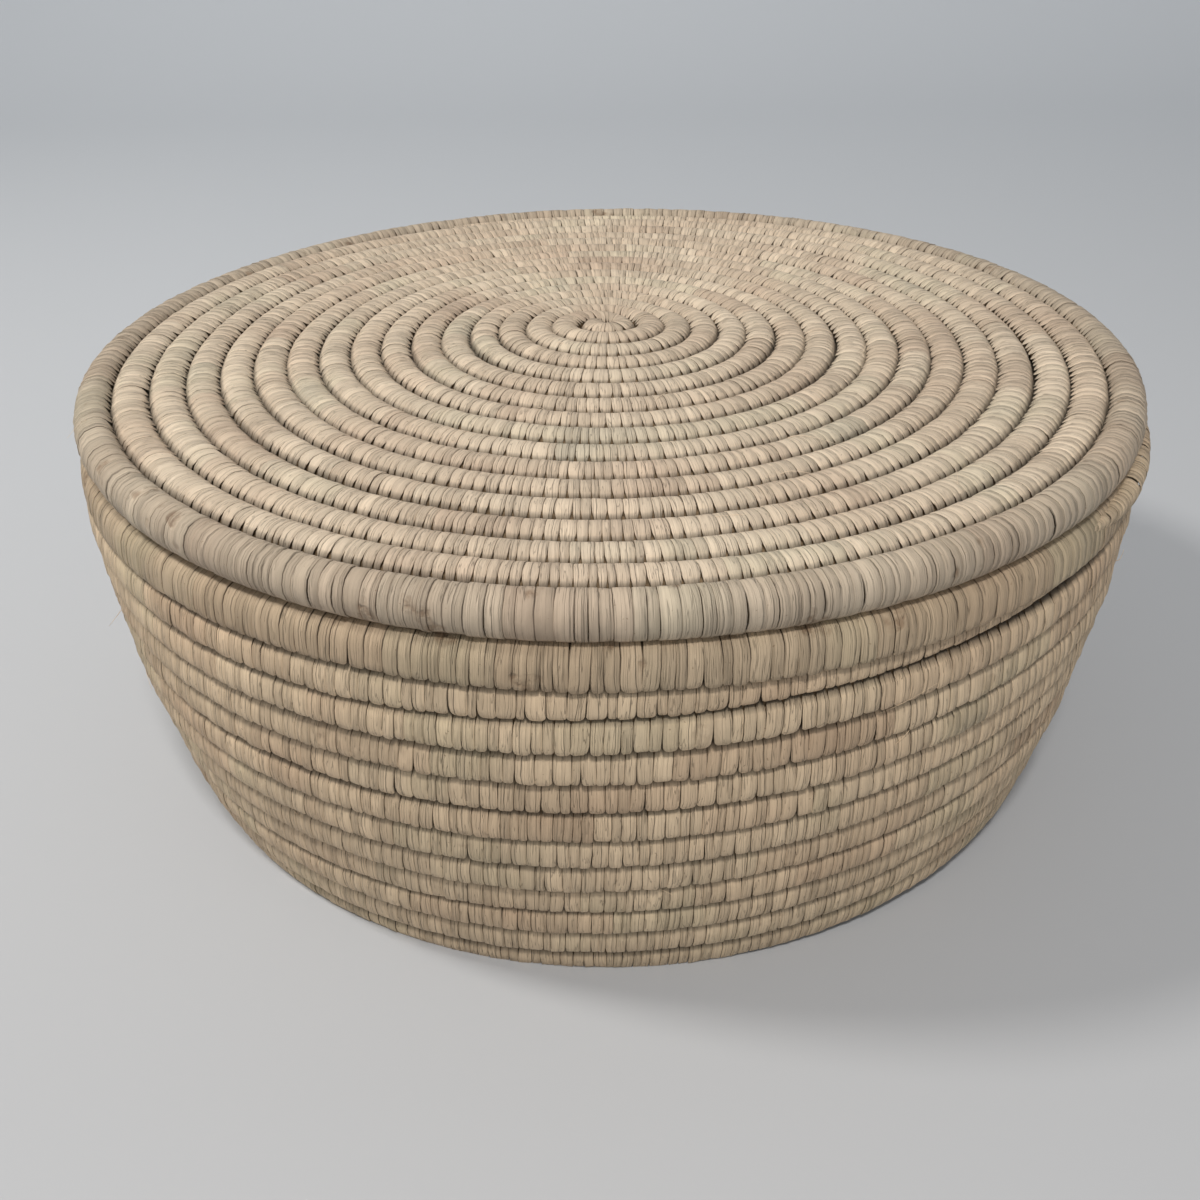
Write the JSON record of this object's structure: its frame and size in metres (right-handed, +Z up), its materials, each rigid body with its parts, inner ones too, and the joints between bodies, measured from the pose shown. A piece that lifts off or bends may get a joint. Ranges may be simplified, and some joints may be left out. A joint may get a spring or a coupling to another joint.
{
  "type": "lidded storage basket",
  "caption": "Round coiled storage basket of grass rope wrapped in leaf strips, with a wall that leans out to the mouth and a slightly domed lift-off lid.",
  "frame": {"origin": "centre of the basket on the floor it stands on", "axes": "+Z up along the axis of the basket, the way the lid lifts; -Y is the side towards the viewer"},
  "size_m": [0.3534, 0.3534, 0.1441],
  "materials": {
    "bowl_leaf_strip": "dry split leaf, matt to faintly waxy",
    "lid_leaf_strip": "dry split leaf, matt to faintly waxy",
    "grass_bundle": "dry grass stems, matt"
  },
  "bodies": {
    "bowl": {"base_start_knot": "bowl_leaf_strip", "base_row_01_wrap": "bowl_leaf_strip", "base_row_02_wrap": "bowl_leaf_strip", "base_row_03_wrap": "bowl_leaf_strip", "base_row_04_wrap": "bowl_leaf_strip", "base_row_05_wrap": "bowl_leaf_strip", "base_row_06_wrap": "bowl_leaf_strip", "base_row_07_wrap": "bowl_leaf_strip", "base_row_08_wrap": "bowl_leaf_strip", "base_row_09_wrap": "bowl_leaf_strip", "base_row_10_wrap": "bowl_leaf_strip", "base_row_11_wrap": "bowl_leaf_strip", "base_row_12_wrap": "bowl_leaf_strip", "bottom_row_wrap": "bowl_leaf_strip", "wall_row_01_wrap": "bowl_leaf_strip", "wall_row_02_wrap": "bowl_leaf_strip", "wall_row_03_wrap": "bowl_leaf_strip", "wall_row_04_wrap": "bowl_leaf_strip", "wall_row_05_wrap": "bowl_leaf_strip", "wall_row_06_wrap": "bowl_leaf_strip", "wall_row_07_wrap": "bowl_leaf_strip", "wall_row_08_wrap": "bowl_leaf_strip", "wall_row_09_wrap": "bowl_leaf_strip", "wall_row_10_wrap": "bowl_leaf_strip", "bowl_rim_wrap": "bowl_leaf_strip", "bowl_grass_core": "grass_bundle", "bowl_rim_grass_core": "grass_bundle"},
    "lid": {"lid_start_knot": "lid_leaf_strip", "lid_row_01_wrap": "lid_leaf_strip", "lid_row_02_wrap": "lid_leaf_strip", "lid_row_03_wrap": "lid_leaf_strip", "lid_row_04_wrap": "lid_leaf_strip", "lid_row_05_wrap": "lid_leaf_strip", "lid_row_06_wrap": "lid_leaf_strip", "lid_row_07_wrap": "lid_leaf_strip", "lid_row_08_wrap": "lid_leaf_strip", "lid_row_09_wrap": "lid_leaf_strip", "lid_row_10_wrap": "lid_leaf_strip", "lid_row_11_wrap": "lid_leaf_strip", "lid_row_12_wrap": "lid_leaf_strip", "lid_row_13_wrap": "lid_leaf_strip", "lid_row_14_wrap": "lid_leaf_strip", "lid_row_15_wrap": "lid_leaf_strip", "lid_rim_wrap": "lid_leaf_strip", "lid_grass_core": "grass_bundle", "lid_rim_grass_core": "grass_bundle", "locating_ring_wrap": "lid_leaf_strip", "locating_ring_grass_core": "grass_bundle"}
  },
  "joints": [
    {"name": "lid_lift", "type": "slide", "parent": "bowl", "child": "lid", "axis": [0, 0, 1], "range_m": [0, 0.16]}
  ]
}
